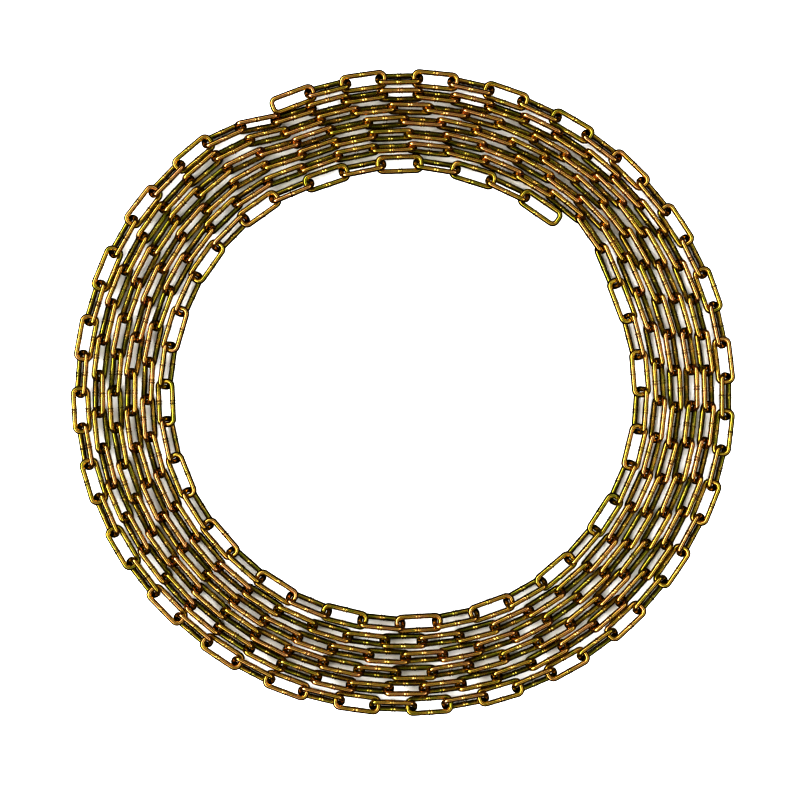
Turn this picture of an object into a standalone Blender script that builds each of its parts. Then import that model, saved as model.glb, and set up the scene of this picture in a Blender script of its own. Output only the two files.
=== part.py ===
"""A flat coil of long-link chain, 4.4 mm wire and 32 mm pitch, lying on the floor.
Metres, +Z up, origin on the floor under the middle of the coil."""

import math
import random

import bpy
from mathutils import Vector

MM = 0.001

# Link, in mm
WIRE = 4.4
PITCH = 32.0  # inside length
INSIDE_WIDTH = 7.5
HALF_LONG = (PITCH + WIRE) / 2  # centre of the link to the middle of its end bar
HALF_WIDE = (INSIDE_WIDTH + WIRE) / 2  # centre of the link to the middle of a side bar
CHAMFER = 3.0  # stands for the bend of about 4 mm radius at each corner
HALF_SECTION = 0.42 * WIRE  # square bar with about the area of the round wire
SLACK_OUTER, SLACK_INNER = 1.6, 0.42  # how far hooked links are from pulled tight
SLACK_WAVER = 0.25
CORNER_ROOM = 1.0  # the square bar's corners stand out this much more than round wire
FUSE = 0.25  # how far past the joint each end bar reaches where links share a solid
SEAT_GAP = 0.38  # how far short of it each stops where they don't
EYE_ROOM = 0.5  # how much wider the eye is on each side, at an end that isn't fused

# Coil, in mm and degrees. Angles run clockwise from +Y, seen from above.
SQUASH_X, SQUASH_Y = 1.0115, 0.9885  # the ring is a little wider than it is deep
SIX = (268.6, 253.9, 240.4, 226.9, 213.5, 198.4)  # strand radii where six lie side by side
SEVEN = (266.4, 252.8, 241.4, 230.2, 219.0, 207.8, 194.0)  # and where seven do
ZONE_START = -21.0  # the outer free end
ZONE = 65.0  # the seven strands reach this far
BLEND_IN, BLEND_OUT = 16.0, 24.0
FREE_END = -0.007  # in turns: the first link starts just before the zone
SEED = 7
RUN_ENDS = (85.0, 168.0, 251.0, 335.0)  # where one node of a turn ends and the next starts

METAL = (0.45, 0.34, 0.12, 1.0)


def smooth(t):
    t = min(1.0, max(0.0, t))
    return t * t * (3 - 2 * t)


def strand_radius(turns):
    """Radius of the chain's middle line, that many turns from its outer end."""
    turn = max(0, math.floor(turns))
    angle = max(0.0, turns - turn) * 360
    if turn >= 6 or angle <= ZONE:
        return SEVEN[turn]
    if angle <= ZONE + BLEND_OUT:
        share = smooth((angle - ZONE) / BLEND_OUT)
        return SEVEN[turn] + (SIX[turn] - SEVEN[turn]) * share
    share = smooth((angle - 360 + BLEND_IN) / BLEND_IN)
    return SIX[turn] + (SEVEN[turn + 1] - SIX[turn]) * share


def middle_line(turns):
    angle = math.radians(ZONE_START) + turns * 2 * math.pi
    radius = strand_radius(turns)
    radius += 0.45 * math.sin(3 * angle + 0.7) + 0.35 * math.sin(7 * angle + 1.9)
    turn = math.floor(turns)
    radius += 0.15 * math.sin(11 * angle + 2.3 * turn)
    into_zone = (turns - turn) * 360
    loose = smooth((into_zone - ZONE - 20) / 20) * smooth((335 - into_zone) / 20)
    if 1 <= turn <= 4:
        radius += loose * 0.25 * math.sin(5 * angle + 4.1 * turn) * math.sin(17 * angle + 1.7 * turn)
    return Vector((
        radius * SQUASH_X * math.sin(angle), radius * SQUASH_Y * math.cos(angle), 0
    ))


def joints():
    """Points along the chain where links hook, and how far round each is."""
    chance = random.Random(SEED)
    points, turns = [middle_line(FREE_END)], [FREE_END]
    while True:
        slack = SLACK_OUTER + (SLACK_INNER - SLACK_OUTER) * turns[-1] / 6
        step = PITCH - slack - chance.uniform(-SLACK_WAVER, SLACK_WAVER)
        near, far = turns[-1], turns[-1] + 0.05
        for _ in range(40):
            middle = (near + far) / 2
            if (middle_line(middle) - points[-1]).length < step:
                near = middle
            else:
                far = middle
        if far > 6 + ZONE / 360:
            return points, turns
        points.append(middle_line(far))
        turns.append(far)


def link_rolls(turns):
    """Each link's roll about its length: 0 lies flat, positive has the outer bar higher."""
    chance = random.Random(SEED)
    rolls = []
    for i, at in enumerate(turns):
        angle = (at - math.floor(at)) * 360
        crowded = angle < ZONE + 12 or angle > 345
        lane = max(0, math.floor(at + 10 / 360))
        first = i % 2 == 0
        drift = chance.uniform(-1, 1)
        if lane == 0:
            roll = 8 + drift * 4 if first else -54 + drift * 2
        elif lane == 1:
            steep = 60 if crowded else 52
            roll = (steep if first else -steep - 2) + drift * 2
        elif lane <= 4 or at < 5 + (ZONE + 12) / 360:
            steep = 66 + drift * 0.8 if crowded else 53 + drift * 2
            roll = steep if first else -steep
        elif at < 5.94:
            roll = 53 + drift * 2 if first else -6 + drift * 3
        else:
            roll = -56 + drift * 2 if first else 6 + drift * 3
        rolls.append(roll)
    for i in range(1, len(rolls) - 1):
        if abs(rolls[i]) < 20 and rolls[i - 1] * rolls[i + 1] < 0:
            rolls[i - 1], rolls[i], rolls[i + 1] = 58.0, 0.0, -58.0
    return rolls


def link_heights(rolls):
    """A tilted link rests on the floor, and a flat one hangs in its neighbours' ends."""
    lean = [math.radians(abs(roll)) for roll in rolls]
    resting = [
        HALF_WIDE * math.sin(a) + HALF_SECTION * (math.cos(a) + math.sin(a)) for a in lean
    ]
    heights = list(resting)
    for i, roll in enumerate(rolls):
        if abs(roll) > 25:
            continue
        for j in (i - 1, i + 1):
            if 0 <= j < len(rolls):
                across = abs(math.sin(math.radians(roll - rolls[j])))
                drop = HALF_WIDE * across - WIRE - CORNER_ROOM
                heights[i] = max(heights[i], resting[j] - drop)
    return heights


def outer_corners():
    """The link's outside as 8 corners, anticlockwise from the front end bar."""
    end, side = HALF_LONG + HALF_SECTION, HALF_WIDE + HALF_SECTION
    cut = CHAMFER + HALF_SECTION * (2 - math.sqrt(2))
    return [
        (end, side - cut), (end - cut, side), (cut - end, side), (-end, side - cut),
        (-end, cut - side), (cut - end, -side), (end - cut, -side), (end, cut - side),
    ]


def eye_corners(joint, fused):
    """The eye as 4 corners. joint is how far each joint is from the link's middle, and
    fused says of the back and the front end whether the next link is in the same solid."""
    side = HALF_WIDE - HALF_SECTION
    back, front = (joint - FUSE if same else joint + SEAT_GAP for same in fused)
    rear, fore = (side if same else side + EYE_ROOM for same in fused)
    return [(front, fore), (-back, rear), (-back, -rear), (front, -fore)]


def add_link(verts, faces, place, eye):
    """Append one link: a flat ring with 8 outer corners, as thick as the bar."""
    start = len(verts)
    for up in (-HALF_SECTION, HALF_SECTION):
        verts.extend(place(x, y, up) for x, y in outer_corners() + eye)
    low, high = start, start + 12
    for i in range(8):
        j = (i + 1) % 8
        faces.append((low + i, low + j, high + j, high + i))
    for i in range(4):
        j = (i + 1) % 4
        ring, after = 2 * i, (2 * i + 1) % 8
        following = (2 * i + 2) % 8
        inner, next_inner = 8 + i, 8 + j
        faces.append((low + next_inner, low + inner, high + inner, high + next_inner))
        faces.append((high + ring, high + after, high + inner))
        faces.append((high + after, high + following, high + next_inner, high + inner))
        faces.append((low + after, low + ring, low + inner))
        faces.append((low + following, low + after, low + inner, low + next_inner))


def placer(start, end, roll, height):
    """Puts a link's own coordinates in the coil, and how far its joints are from its
    middle."""
    along = (end - start).normalized()
    outward = Vector((along.y, -along.x, 0))
    middle = (start + end) / 2
    if outward.dot(middle) < 0:
        outward.negate()
    tilt = math.radians(roll)
    wide = outward * math.cos(tilt) + Vector((0, 0, math.sin(tilt)))
    normal = along.cross(wide)
    middle = middle + Vector((0, 0, height))
    joint = (end - start).length / 2
    return lambda x, y, up: (middle + along * x + wide * y + normal * up) * MM, joint


def mesh_object(name, verts, faces, material=None):
    mesh = bpy.data.meshes.new(name)
    mesh.from_pydata([tuple(v) for v in verts], [], faces)
    mesh.update()
    thing = bpy.data.objects.new(name, mesh)
    bpy.context.scene.collection.objects.link(thing)
    if material:
        mesh.materials.append(material)
    return thing


def metal_for(name):
    material = bpy.data.materials.new("metal_" + name)
    material.use_nodes = True
    shader = material.node_tree.nodes["Principled BSDF"]
    shader.inputs["Base Color"].default_value = METAL
    shader.inputs["Metallic"].default_value = 1.0
    shader.inputs["Roughness"].default_value = 0.3
    return material


def make_run(name, numbers, places):
    """One solid for a run of links, joined where each hooks into the next."""
    sets = ([], []), ([], [])
    for i in numbers:
        verts, faces = sets[(i - numbers[0]) % 2]
        place, joint = places[i]
        fused = i != numbers[0], i != numbers[-1]
        add_link(verts, faces, place, eye_corners(joint, fused))
    run = mesh_object(name, *sets[0], metal_for(name))
    if sets[1][0]:
        others = mesh_object("helper_" + name, *sets[1])
        others.hide_render = True
        others.display_type = "WIRE"
        join = run.modifiers.new("join_links", "BOOLEAN")
        join.operation = "UNION"
        join.solver = "EXACT"
        join.object = others
    return run


def run_name(turns):
    """The node that a link belongs to. Nodes part where the strands have room."""
    turn = math.floor(turns + (360 - RUN_ENDS[3]) / 360)
    angle = (turns - turn) * 360
    return f"turn_{turn + 1}_run_{1 + sum(angle > end for end in RUN_ENDS[:3])}"


def main():
    for thing in list(bpy.data.objects):
        bpy.data.objects.remove(thing)
    points, turns = joints()
    middles = [(a + b) / 2 for a, b in zip(turns, turns[1:])]
    rolls = link_rolls(middles)
    heights = link_heights(rolls)

    # The box of the coil is centred on the origin
    lows = Vector([min(p[k] for p in points) for k in (0, 1)] + [0])
    highs = Vector([max(p[k] for p in points) for k in (0, 1)] + [0])
    shift = (lows + highs) / 2
    points = [p - shift for p in points]
    places = [
        placer(points[i], points[i + 1], rolls[i], heights[i]) for i in range(len(rolls))
    ]

    last = len(rolls) - 1
    make_run("outer_end_link", [0], places)
    runs = {}
    for i in range(1, last):
        runs.setdefault(run_name(middles[i]), []).append(i)
    for name, numbers in runs.items():
        make_run(name, numbers, places)
    make_run("inner_end_link", [last], places)


main()
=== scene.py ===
import math
import random

import bpy
import numpy as np
from mathutils import Matrix, Vector


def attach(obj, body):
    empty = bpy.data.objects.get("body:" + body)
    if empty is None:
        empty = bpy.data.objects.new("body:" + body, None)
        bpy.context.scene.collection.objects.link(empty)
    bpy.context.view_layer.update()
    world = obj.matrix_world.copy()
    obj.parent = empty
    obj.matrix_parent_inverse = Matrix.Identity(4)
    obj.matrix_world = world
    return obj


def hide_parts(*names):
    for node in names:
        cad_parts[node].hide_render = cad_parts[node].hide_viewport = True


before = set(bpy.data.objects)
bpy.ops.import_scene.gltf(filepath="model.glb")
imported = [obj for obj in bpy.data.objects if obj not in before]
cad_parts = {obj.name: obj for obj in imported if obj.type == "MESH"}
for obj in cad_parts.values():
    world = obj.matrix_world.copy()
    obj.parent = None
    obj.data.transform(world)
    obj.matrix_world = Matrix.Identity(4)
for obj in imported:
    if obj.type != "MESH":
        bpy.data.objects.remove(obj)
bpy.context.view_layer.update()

MM = 0.001

# Link, in mm
WIRE = 4.4
PITCH = 32.0
INSIDE_WIDTH = 7.5
HALF_LONG = (PITCH + WIRE) / 2
HALF_WIDE = (INSIDE_WIDTH + WIRE) / 2
BEND = 4.3  # radius of the wire's middle line at a corner
HALF_SECTION = 0.42 * WIRE
SLACK_OUTER, SLACK_INNER = 1.6, 0.42
SLACK_WAVER = 0.25
CORNER_ROOM = 1.0

# Coil, in mm and degrees, clockwise from +Y seen from above, as in the solids
SQUASH_X, SQUASH_Y = 1.0115, 0.9885
SIX = (268.6, 253.9, 240.4, 226.9, 213.5, 198.4)
SEVEN = (266.4, 252.8, 241.4, 230.2, 219.0, 207.8, 194.0)
ZONE_START, ZONE = -21.0, 65.0
BLEND_IN, BLEND_OUT = 16.0, 24.0
FREE_END = -0.007
SEED = 7
RUN_ENDS = (85.0, 168.0, 251.0, 335.0)

# Mesh of one link
AROUND = 20
# The welded collar: two low ridges with a groove between, on each long side
NUB_RISE, NUB_APART, NUB_REACH = 0.42, 1.1, 0.40


def smooth(t):
    t = min(1.0, max(0.0, t))
    return t * t * (3 - 2 * t)


def strand_radius(turns):
    turn = max(0, math.floor(turns))
    angle = max(0.0, turns - turn) * 360
    if turn >= 6 or angle <= ZONE:
        return SEVEN[turn]
    if angle <= ZONE + BLEND_OUT:
        share = smooth((angle - ZONE) / BLEND_OUT)
        return SEVEN[turn] + (SIX[turn] - SEVEN[turn]) * share
    share = smooth((angle - 360 + BLEND_IN) / BLEND_IN)
    return SIX[turn] + (SEVEN[turn + 1] - SIX[turn]) * share


def middle_line(turns):
    angle = math.radians(ZONE_START) + turns * 2 * math.pi
    radius = strand_radius(turns)
    radius += 0.45 * math.sin(3 * angle + 0.7) + 0.35 * math.sin(7 * angle + 1.9)
    turn = math.floor(turns)
    radius += 0.15 * math.sin(11 * angle + 2.3 * turn)
    into_zone = (turns - turn) * 360
    loose = smooth((into_zone - ZONE - 20) / 20) * smooth((335 - into_zone) / 20)
    if 1 <= turn <= 4:
        radius += loose * 0.25 * math.sin(5 * angle + 4.1 * turn) * math.sin(17 * angle + 1.7 * turn)
    return Vector((
        radius * SQUASH_X * math.sin(angle), radius * SQUASH_Y * math.cos(angle), 0
    ))


def joints():
    chance = random.Random(SEED)
    points, turns = [middle_line(FREE_END)], [FREE_END]
    while True:
        slack = SLACK_OUTER + (SLACK_INNER - SLACK_OUTER) * turns[-1] / 6
        step = PITCH - slack - chance.uniform(-SLACK_WAVER, SLACK_WAVER)
        near, far = turns[-1], turns[-1] + 0.05
        for _ in range(40):
            middle = (near + far) / 2
            if (middle_line(middle) - points[-1]).length < step:
                near = middle
            else:
                far = middle
        if far > 6 + ZONE / 360:
            return points, turns
        points.append(middle_line(far))
        turns.append(far)


def link_rolls(turns):
    chance = random.Random(SEED)
    rolls = []
    for i, at in enumerate(turns):
        angle = (at - math.floor(at)) * 360
        crowded = angle < ZONE + 12 or angle > 345
        lane = max(0, math.floor(at + 10 / 360))
        first = i % 2 == 0
        drift = chance.uniform(-1, 1)
        if lane == 0:
            roll = 8 + drift * 4 if first else -54 + drift * 2
        elif lane == 1:
            steep = 60 if crowded else 52
            roll = (steep if first else -steep - 2) + drift * 2
        elif lane <= 4 or at < 5 + (ZONE + 12) / 360:
            steep = 66 + drift * 0.8 if crowded else 53 + drift * 2
            roll = steep if first else -steep
        elif at < 5.94:
            roll = 53 + drift * 2 if first else -6 + drift * 3
        else:
            roll = -56 + drift * 2 if first else 6 + drift * 3
        rolls.append(roll)
    for i in range(1, len(rolls) - 1):
        if abs(rolls[i]) < 20 and rolls[i - 1] * rolls[i + 1] < 0:
            rolls[i - 1], rolls[i], rolls[i + 1] = 58.0, 0.0, -58.0
    return rolls


def link_heights(rolls):
    lean = [math.radians(abs(roll)) for roll in rolls]
    resting = [
        HALF_WIDE * math.sin(a) + HALF_SECTION * (math.cos(a) + math.sin(a)) for a in lean
    ]
    heights = list(resting)
    for i, roll in enumerate(rolls):
        if abs(roll) > 25:
            continue
        for j in (i - 1, i + 1):
            if 0 <= j < len(rolls):
                across = abs(math.sin(math.radians(roll - rolls[j])))
                drop = HALF_WIDE * across - WIRE - CORNER_ROOM
                heights[i] = max(heights[i], resting[j] - drop)
    return heights


def link_path():
    """Stations round the link's middle line: place, direction, and distance from the
    middle of the long side that each lies on (large elsewhere)."""
    nub = (0.0, 0.35, 0.65, 0.9, 1.1, 1.3, 1.6, 2.2)
    spread = [-v for v in reversed(nub[1:])] + list(nub)
    straight = HALF_LONG - BEND
    spots = []
    for side in (1, -1):
        for along in [-straight * 0.55] + spread + [straight * 0.55]:
            spots.append((-side * along, side * HALF_WIDE, -side, 0.0, along))
        for k in range(9):
            turn = math.pi / 2 * k / 8
            x = -side * (straight + BEND * math.sin(turn))
            y = side * (HALF_WIDE - BEND + BEND * math.cos(turn))
            spots.append((x, y, -side * math.cos(turn), -side * math.sin(turn), 99.0))
        for k in range(9):
            turn = math.pi / 2 * k / 8
            x = -side * (straight + BEND * math.cos(turn))
            y = -side * (HALF_WIDE - BEND + BEND * math.sin(turn))
            spots.append((x, y, side * math.sin(turn), -side * math.cos(turn), 99.0))
    return np.array(spots)


PATH = link_path()
STATIONS = len(PATH)
LENGTHS = np.concatenate([
    [0.0], np.cumsum(np.hypot(np.diff(PATH[:, 0]), np.diff(PATH[:, 1])))
])
ANGLES = np.arange(AROUND) * 2 * math.pi / AROUND


def link_points(chance):
    """One link in its own frame, in mm: x along, y wide, z square to its plane. Also each point's
    share of the painted highlight band at the welded collar, and its place on the wire."""
    shift = {1: chance.uniform(-0.9, 0.9), -1: chance.uniform(-0.9, 0.9)}
    sign = np.where(PATH[:, 1] > 0, 1, -1)
    along = PATH[:, 4][:, None]
    rise = np.zeros((STATIONS, AROUND))
    weld_highlight = np.zeros((STATIONS, AROUND))
    for side in (1, -1):
        here = (sign == side)[:, None]
        for centre in (-NUB_APART, NUB_APART):
            big, lean = chance.uniform(0.5, 1.3), chance.uniform(0, 2 * math.pi)
            lump = 1 + 0.3 * np.cos(ANGLES[None, :] - lean)
            ridge = np.exp(-(((along - centre) / NUB_REACH) ** 2))
            rise += here * NUB_RISE * big * lump * ridge
        weld_highlight += here * np.exp(-((along / 2.4) ** 4))
    radius = WIRE / 2 + rise
    across = np.stack([PATH[:, 3], -PATH[:, 2]], axis=1)
    outward = radius * np.cos(ANGLES)[None, :]
    x = PATH[:, 0][:, None] + across[:, 0][:, None] * outward
    y = PATH[:, 1][:, None] + across[:, 1][:, None] * outward
    moved = np.clip(1 - np.abs(along) / 12, 0, 1)
    x = x + moved * np.where(sign == 1, -shift[1], shift[-1])[:, None]
    z = radius * np.sin(ANGLES)[None, :]
    wire = np.stack([
        np.broadcast_to(LENGTHS[:, None], x.shape), 2 * np.cos(ANGLES) + 0 * x,
        2 * np.sin(ANGLES) + 0 * x,
    ], axis=-1)
    return np.stack([x, y, z], axis=-1), weld_highlight, wire


def link_faces():
    """Quads of one closed tube, wound to face out."""
    ring = np.arange(STATIONS)[:, None] * AROUND
    following = ((np.arange(STATIONS) + 1) % STATIONS)[:, None] * AROUND
    around = np.arange(AROUND)[None, :]
    beside = (around + 1) % AROUND
    quads = np.stack([
        ring + around, ring + beside, following + beside, following + around
    ], axis=-1)
    return quads.reshape(-1, 4)


FACES = link_faces()


def run_mesh(name, numbers, places, tones):
    """One piece: the links of a node, each a closed tube."""
    verts, weld_highlights, wires, tone = [], [], [], []
    for i in numbers:
        chance = random.Random(1000 + i)
        local, weld_highlight, wire = link_points(chance)
        matrix = places[i]
        flat = local.reshape(-1, 3) @ matrix[:3, :3].T + matrix[:3, 3]
        flat[:, 2] = np.maximum(flat[:, 2], 0)
        verts.append(flat * MM)
        weld_highlights.append(weld_highlight.reshape(-1))
        wire = wire.reshape(-1, 3).copy()
        wire[:, 0] += 130 * (i % 90)
        wires.append(wire)
        tone.append(np.full(len(flat), tones[i]))
    count = STATIONS * AROUND
    faces = np.concatenate([FACES + count * k for k in range(len(numbers))])
    mesh = bpy.data.meshes.new(name)
    mesh.from_pydata(np.concatenate(verts).tolist(), [], faces.tolist())
    mesh.shade_smooth()
    for label, kind, values in (
        ("weld_highlight", "FLOAT", np.concatenate(weld_highlights)), ("tone", "FLOAT", np.concatenate(tone)),
        ("wire", "FLOAT_VECTOR", np.concatenate(wires)),
    ):
        layer = mesh.attributes.new(label, kind, "POINT")
        field = "vector" if kind == "FLOAT_VECTOR" else "value"
        layer.data.foreach_set(field, np.ascontiguousarray(values, np.float32).reshape(-1))
    piece = bpy.data.objects.new(name, mesh)
    bpy.context.scene.collection.objects.link(piece)
    return piece


def place_of(start, end, roll, height, chance):
    along = (end - start).normalized()
    outward = Vector((along.y, -along.x, 0))
    middle = (start + end) / 2
    if outward.dot(middle) < 0:
        outward.negate()
    tilt = math.radians(roll)
    wide = outward * math.cos(tilt) + Vector((0, 0, math.sin(tilt)))
    normal = along.cross(wide)
    matrix = np.eye(4)
    matrix[:3, 0], matrix[:3, 1], matrix[:3, 2] = along, wide, normal
    yaw = math.radians(chance.uniform(-0.5, 0.5))
    turn = np.array([
        [math.cos(yaw), -math.sin(yaw), 0], [math.sin(yaw), math.cos(yaw), 0], [0, 0, 1]
    ])
    matrix[:3, :3] = matrix[:3, :3] @ turn
    matrix[:3, 3] = (middle.x, middle.y, height - 0.4)
    return matrix


# Material

class Graph:
    """Short helper for building a node tree."""

    def __init__(self, tree):
        self.tree = tree
        tree.nodes.clear()

    def add(self, kind, inputs=None, **settings):
        node = self.tree.nodes.new(kind)
        for key, value in settings.items():
            setattr(node, key, value)
        for key, value in (inputs or {}).items():
            socket = node.inputs[key]
            if isinstance(value, bpy.types.NodeSocket):
                self.tree.links.new(value, socket)
            else:
                socket.default_value = value
        return node

    def math(self, operation, *values, clamp=False):
        node = self.add("ShaderNodeMath", operation=operation, use_clamp=clamp)
        for k, value in enumerate(values):
            if isinstance(value, bpy.types.NodeSocket):
                self.tree.links.new(value, node.inputs[k])
            else:
                node.inputs[k].default_value = value
        return node.outputs[0]

    def mix(self, share, first, second, blend="MIX"):
        node = self.add("ShaderNodeMix", data_type="RGBA", blend_type=blend)
        for k, value in ((0, share), (6, first), (7, second)):
            if isinstance(value, bpy.types.NodeSocket):
                self.tree.links.new(value, node.inputs[k])
            else:
                node.inputs[k].default_value = value
        return node.outputs[2]

    def ramp(self, value, low, high):
        node = self.add("ShaderNodeMapRange", {0: value, 1: low, 2: high}, clamp=True)
        return node.outputs[0]

    def noise(self, vector, scale, detail=3.0, rough=0.5):
        node = self.add("ShaderNodeTexNoise", {
            "Vector": vector, "Scale": scale, "Detail": detail, "Roughness": rough
        })
        return node.outputs["Fac"]


def chromate_metal():
    """Yellow chromate zinc on round wire: gold, with a painted reflection and shade tint by height,
    olive where low and pinkish where high.
    """
    material = bpy.data.materials.new("yellow_zinc_wire")
    material.use_nodes = True
    g = Graph(material.node_tree)
    wire = g.add("ShaderNodeAttribute", attribute_name="wire").outputs["Vector"]
    tone = g.add("ShaderNodeAttribute", attribute_name="tone").outputs["Fac"]
    weld_highlight = g.add("ShaderNodeAttribute", attribute_name="weld_highlight").outputs["Fac"]
    where = g.add("ShaderNodeTexCoord").outputs["Object"]
    height = g.add("ShaderNodeSeparateXYZ", {0: where}).outputs["Z"]
    drawn = g.add("ShaderNodeMapping", {"Vector": wire, "Scale": (0.07, 1.0, 1.0)})
    drawn = drawn.outputs["Vector"]
    lines = g.noise(drawn, 0.9, 1.0, 0.5)
    patches = g.noise(wire, 0.11, 3.0, 0.55)
    specks = g.noise(wire, 1.4, 3.0, 0.6)

    olive, gold = (0.46, 0.46, 0.10, 1), (0.75, 0.56, 0.18, 1)
    rose = (0.78, 0.51, 0.29, 1)
    # Painted reflection and shade: the colour leans olive on low wire and pinkish on high wire, by
    # height alone; random patches and per-link tone are added to it.
    painted_reflection_by_height = g.math("MULTIPLY", g.ramp(height, 0.0055, 0.0120), 0.5)
    tone_and_painted_reflection = g.math("ADD", painted_reflection_by_height, g.math("MULTIPLY", g.math("SUBTRACT", patches, 0.5), 2.4))
    tone_and_painted_reflection = g.math("ADD", tone_and_painted_reflection, g.math("MULTIPLY", g.math("SUBTRACT", tone, 0.5), 0.5))
    tone_and_painted_reflection = g.math("ADD", tone_and_painted_reflection, 0.22)
    colour = g.mix(g.ramp(tone_and_painted_reflection, 0.05, 0.55), olive, gold)
    colour = g.mix(g.ramp(tone_and_painted_reflection, 0.55, 1.05), colour, rose)
    colour = g.mix(g.math("MULTIPLY", g.ramp(lines, 0.42, 0.72), 0.08), colour,
                   (0.30, 0.20, 0.06, 1))
    colour = g.mix(g.math("MULTIPLY", g.ramp(specks, 0.60, 0.75), 0.25), colour,
                   (0.16, 0.10, 0.03, 1))
    # Painted highlight: the colour turns pale cream in a band round each welded collar.
    colour = g.mix(g.math("MULTIPLY", weld_highlight, 0.25), colour, (0.92, 0.76, 0.45, 1))

    rough = g.math("ADD", 0.13, g.math("MULTIPLY", lines, 0.06))
    rough = g.math("ADD", rough, g.math("MULTIPLY", patches, 0.05))
    relief = g.math("ADD", g.math("MULTIPLY", lines, 0.7), g.math("MULTIPLY", specks, 0.3))
    bump = g.add("ShaderNodeBump", {
        "Strength": 0.02, "Distance": 0.00015, "Height": relief
    }).outputs["Normal"]
    shader = g.add("ShaderNodeBsdfPrincipled", {
        "Base Color": colour, "Roughness": rough, "Normal": bump, "Metallic": 1.0
    })
    g.add("ShaderNodeOutputMaterial", {"Surface": shader.outputs[0]})
    return material


def floor_material():
    material = bpy.data.materials.new("white_floor")
    material.use_nodes = True
    g = Graph(material.node_tree)
    where = g.add("ShaderNodeTexCoord").outputs["Object"]
    mottle = g.noise(where, 9.0, 2.0)
    colour = g.mix(mottle, (0.86, 0.86, 0.86, 1), (0.88, 0.88, 0.88, 1))
    shader = g.add("ShaderNodeBsdfPrincipled", {
        "Base Color": colour, "Roughness": 0.9, "Specular IOR Level": 0.1
    })
    g.add("ShaderNodeOutputMaterial", {"Surface": shader.outputs[0]})
    return material


# Studio

def panel_light(name, place, target, size, power, colour=(1, 1, 1)):
    data = bpy.data.lights.new(name, "AREA")
    data.shape = "RECTANGLE"
    data.size, data.size_y = size
    data.energy = power
    data.color = colour
    light = bpy.data.objects.new(name, data)
    bpy.context.scene.collection.objects.link(light)
    light.location = place
    facing = Vector(target) - Vector(place)
    light.rotation_euler = facing.to_track_quat("-Z", "Y").to_euler()
    return light


def sky():
    """What the wire mirrors: a dim ceiling with a thin bright ring round it, strongest to
    the left, and below it black but for a faint warm ring near the floor."""
    world = bpy.data.worlds.new("studio")
    bpy.context.scene.world = world
    world.use_nodes = True
    g = Graph(world.node_tree)
    toward = g.add("ShaderNodeTexCoord").outputs["Generated"]
    toward = g.add("ShaderNodeSeparateXYZ", {0: toward}).outputs
    up = g.add("ShaderNodeMapRange", {0: toward["Z"], 1: -1.0, 2: 1.0}).outputs[0]
    band = g.add("ShaderNodeValToRGB", {"Fac": up})
    ramp = band.color_ramp
    stops = (
        (0.00, (0.002, 0.001, 0.001)), (0.45, (0.006, 0.002, 0.001)),
        (0.60, (0.001, 0.001, 0.001)), (0.77, (0.004, 0.003, 0.002)),
        (0.84, (0.16, 0.13, 0.10)), (0.93, (0.235, 0.22, 0.18)),
        (1.00, (0.195, 0.21, 0.16)),
    )
    while len(ramp.elements) < len(stops):
        ramp.elements.new(0.5)
    for element, (at, colour) in zip(ramp.elements, stops):
        element.position, element.color = at, (*colour, 1)

    def ring_at(height, width):
        off = g.math("DIVIDE", g.math("SUBTRACT", toward["Z"], height), width)
        return g.math("POWER", 2.718, g.math("MULTIPLY", g.math("MULTIPLY", off, off), -1.0))

    level = g.math("SUBTRACT", 1.001, g.math("MULTIPLY", toward["Z"], toward["Z"]))
    sideways = g.math("DIVIDE", g.math("MULTIPLY", toward["X"], toward["X"]), level)
    stronger = g.ramp(toward["X"], 0.15, -0.15)
    sideways = g.math("MULTIPLY", sideways, g.math("ADD", 0.20, stronger))
    share = g.math("ADD", 0.6, g.math("MULTIPLY", sideways, 4.2))
    high = g.math("MULTIPLY", ring_at(0.79, 0.075), share)
    low = g.math("MULTIPLY", ring_at(0.22, 0.05), 0.3)
    both = g.add("ShaderNodeBackground", {"Color": band.outputs["Color"], "Strength": 1.0})
    for strength, colour in ((high, (1, 0.97, 0.92, 1)), (low, (1, 0.75, 0.50, 1))):
        ring = g.add("ShaderNodeBackground", {"Color": colour, "Strength": strength})
        both = g.add("ShaderNodeAddShader", {0: both.outputs[0], 1: ring.outputs[0]})
    g.add("ShaderNodeOutputWorld", {"Surface": both.outputs[0]})


def backdrop():
    """A pale dome behind the floor, for the camera alone."""
    mesh = bpy.data.meshes.new("backdrop")
    sides, reach = 48, 7.0
    rims = [(reach * math.cos(a), reach * math.sin(a)) for a in np.radians([-30, 0, 35, 70])]
    spots = [
        (wide * math.cos(k * 2 * math.pi / sides), wide * math.sin(k * 2 * math.pi / sides), up)
        for wide, up in rims for k in range(sides)
    ]
    faces = [
        (r * sides + k, r * sides + (k + 1) % sides, (r + 1) * sides + (k + 1) % sides,
         (r + 1) * sides + k)
        for r in range(len(rims) - 1) for k in range(sides)
    ]
    mesh.from_pydata(spots, [], faces)
    dome = bpy.data.objects.new("backdrop", mesh)
    bpy.context.scene.collection.objects.link(dome)
    material = bpy.data.materials.new("pale_backdrop")
    material.use_nodes = True
    g = Graph(material.node_tree)
    glow = g.add("ShaderNodeEmission", {"Color": (0.88, 0.88, 0.88, 1), "Strength": 1.0})
    g.add("ShaderNodeOutputMaterial", {"Surface": glow.outputs[0]})
    mesh.materials.append(material)
    dome.visible_glossy = False
    dome.visible_diffuse = False
    dome.visible_shadow = False


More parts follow.
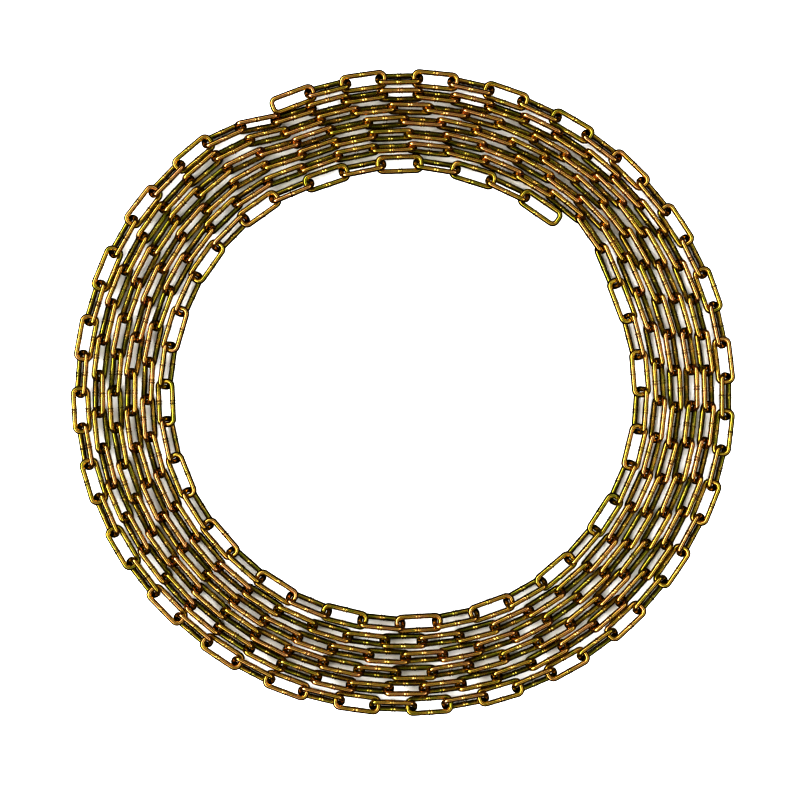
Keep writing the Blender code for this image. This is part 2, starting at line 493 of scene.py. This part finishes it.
def studio():
    sky()
    # These light the floor and are hidden from the metal
    washes = []
    for k, (x, y) in enumerate(((1, 0), (-1, 0), (0, 1), (0, -1))):
        place = (2.4 * x, 2.4 * y, 0.9)
        washes.append(panel_light(f"wash_{k}", place, (0, 0, 0), (2.4, 0.8), 108))
    for wash in washes:
        wash.visible_glossy = False
        wash.visible_camera = False

    mesh = bpy.data.meshes.new("floor")
    edge = 2.5
    corners = [(-edge, -edge, 0), (edge, -edge, 0), (edge, edge, 0), (-edge, edge, 0)]
    mesh.from_pydata(corners, [], [(0, 1, 2, 3)])
    floor = bpy.data.objects.new("floor", mesh)
    bpy.context.scene.collection.objects.link(floor)
    mesh.materials.append(floor_material())
    floor.visible_glossy = False
    backdrop()

    data = bpy.data.cameras.new("camera")
    data.lens, data.sensor_width = 85, 36
    field = 0.6736
    camera = bpy.data.objects.new("camera", data)
    bpy.context.scene.collection.objects.link(camera)
    camera.location = (-0.0025, -0.0063, 0.007 + field * 85 / 36)
    camera.rotation_euler = (0, 0, 0)
    bpy.context.scene.camera = camera
    view = bpy.context.scene.view_settings
    view.view_transform = "Standard"
    view.look = "Very High Contrast"
    view.exposure = 0.0
    view.gamma = 0.85


def run_name(turns):
    turn = math.floor(turns + (360 - RUN_ENDS[3]) / 360)
    angle = (turns - turn) * 360
    return f"turn_{turn + 1}_run_{1 + sum(angle > end for end in RUN_ENDS[:3])}"


def chain():
    points, turns = joints()
    middles = [(a + b) / 2 for a, b in zip(turns, turns[1:])]
    rolls = link_rolls(middles)
    heights = link_heights(rolls)
    lows = Vector([min(p[k] for p in points) for k in (0, 1)] + [0])
    highs = Vector([max(p[k] for p in points) for k in (0, 1)] + [0])
    points = [p - (lows + highs) / 2 for p in points]
    chance = random.Random(11)
    places = [
        place_of(points[i], points[i + 1], rolls[i], heights[i], chance)
        for i in range(len(rolls))
    ]
    tones = [chance.random() for _ in rolls]
    last = len(rolls) - 1
    groups = {"outer_end_link": [0], "inner_end_link": [last]}
    for i in range(1, last):
        groups.setdefault(run_name(middles[i]), []).append(i)
    metal = chromate_metal()
    for node, numbers in groups.items():
        piece = run_mesh("links_" + node, numbers, places, tones)
        piece.data.materials.append(metal)
        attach(piece, "root")
        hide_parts(node)


chain()
studio()
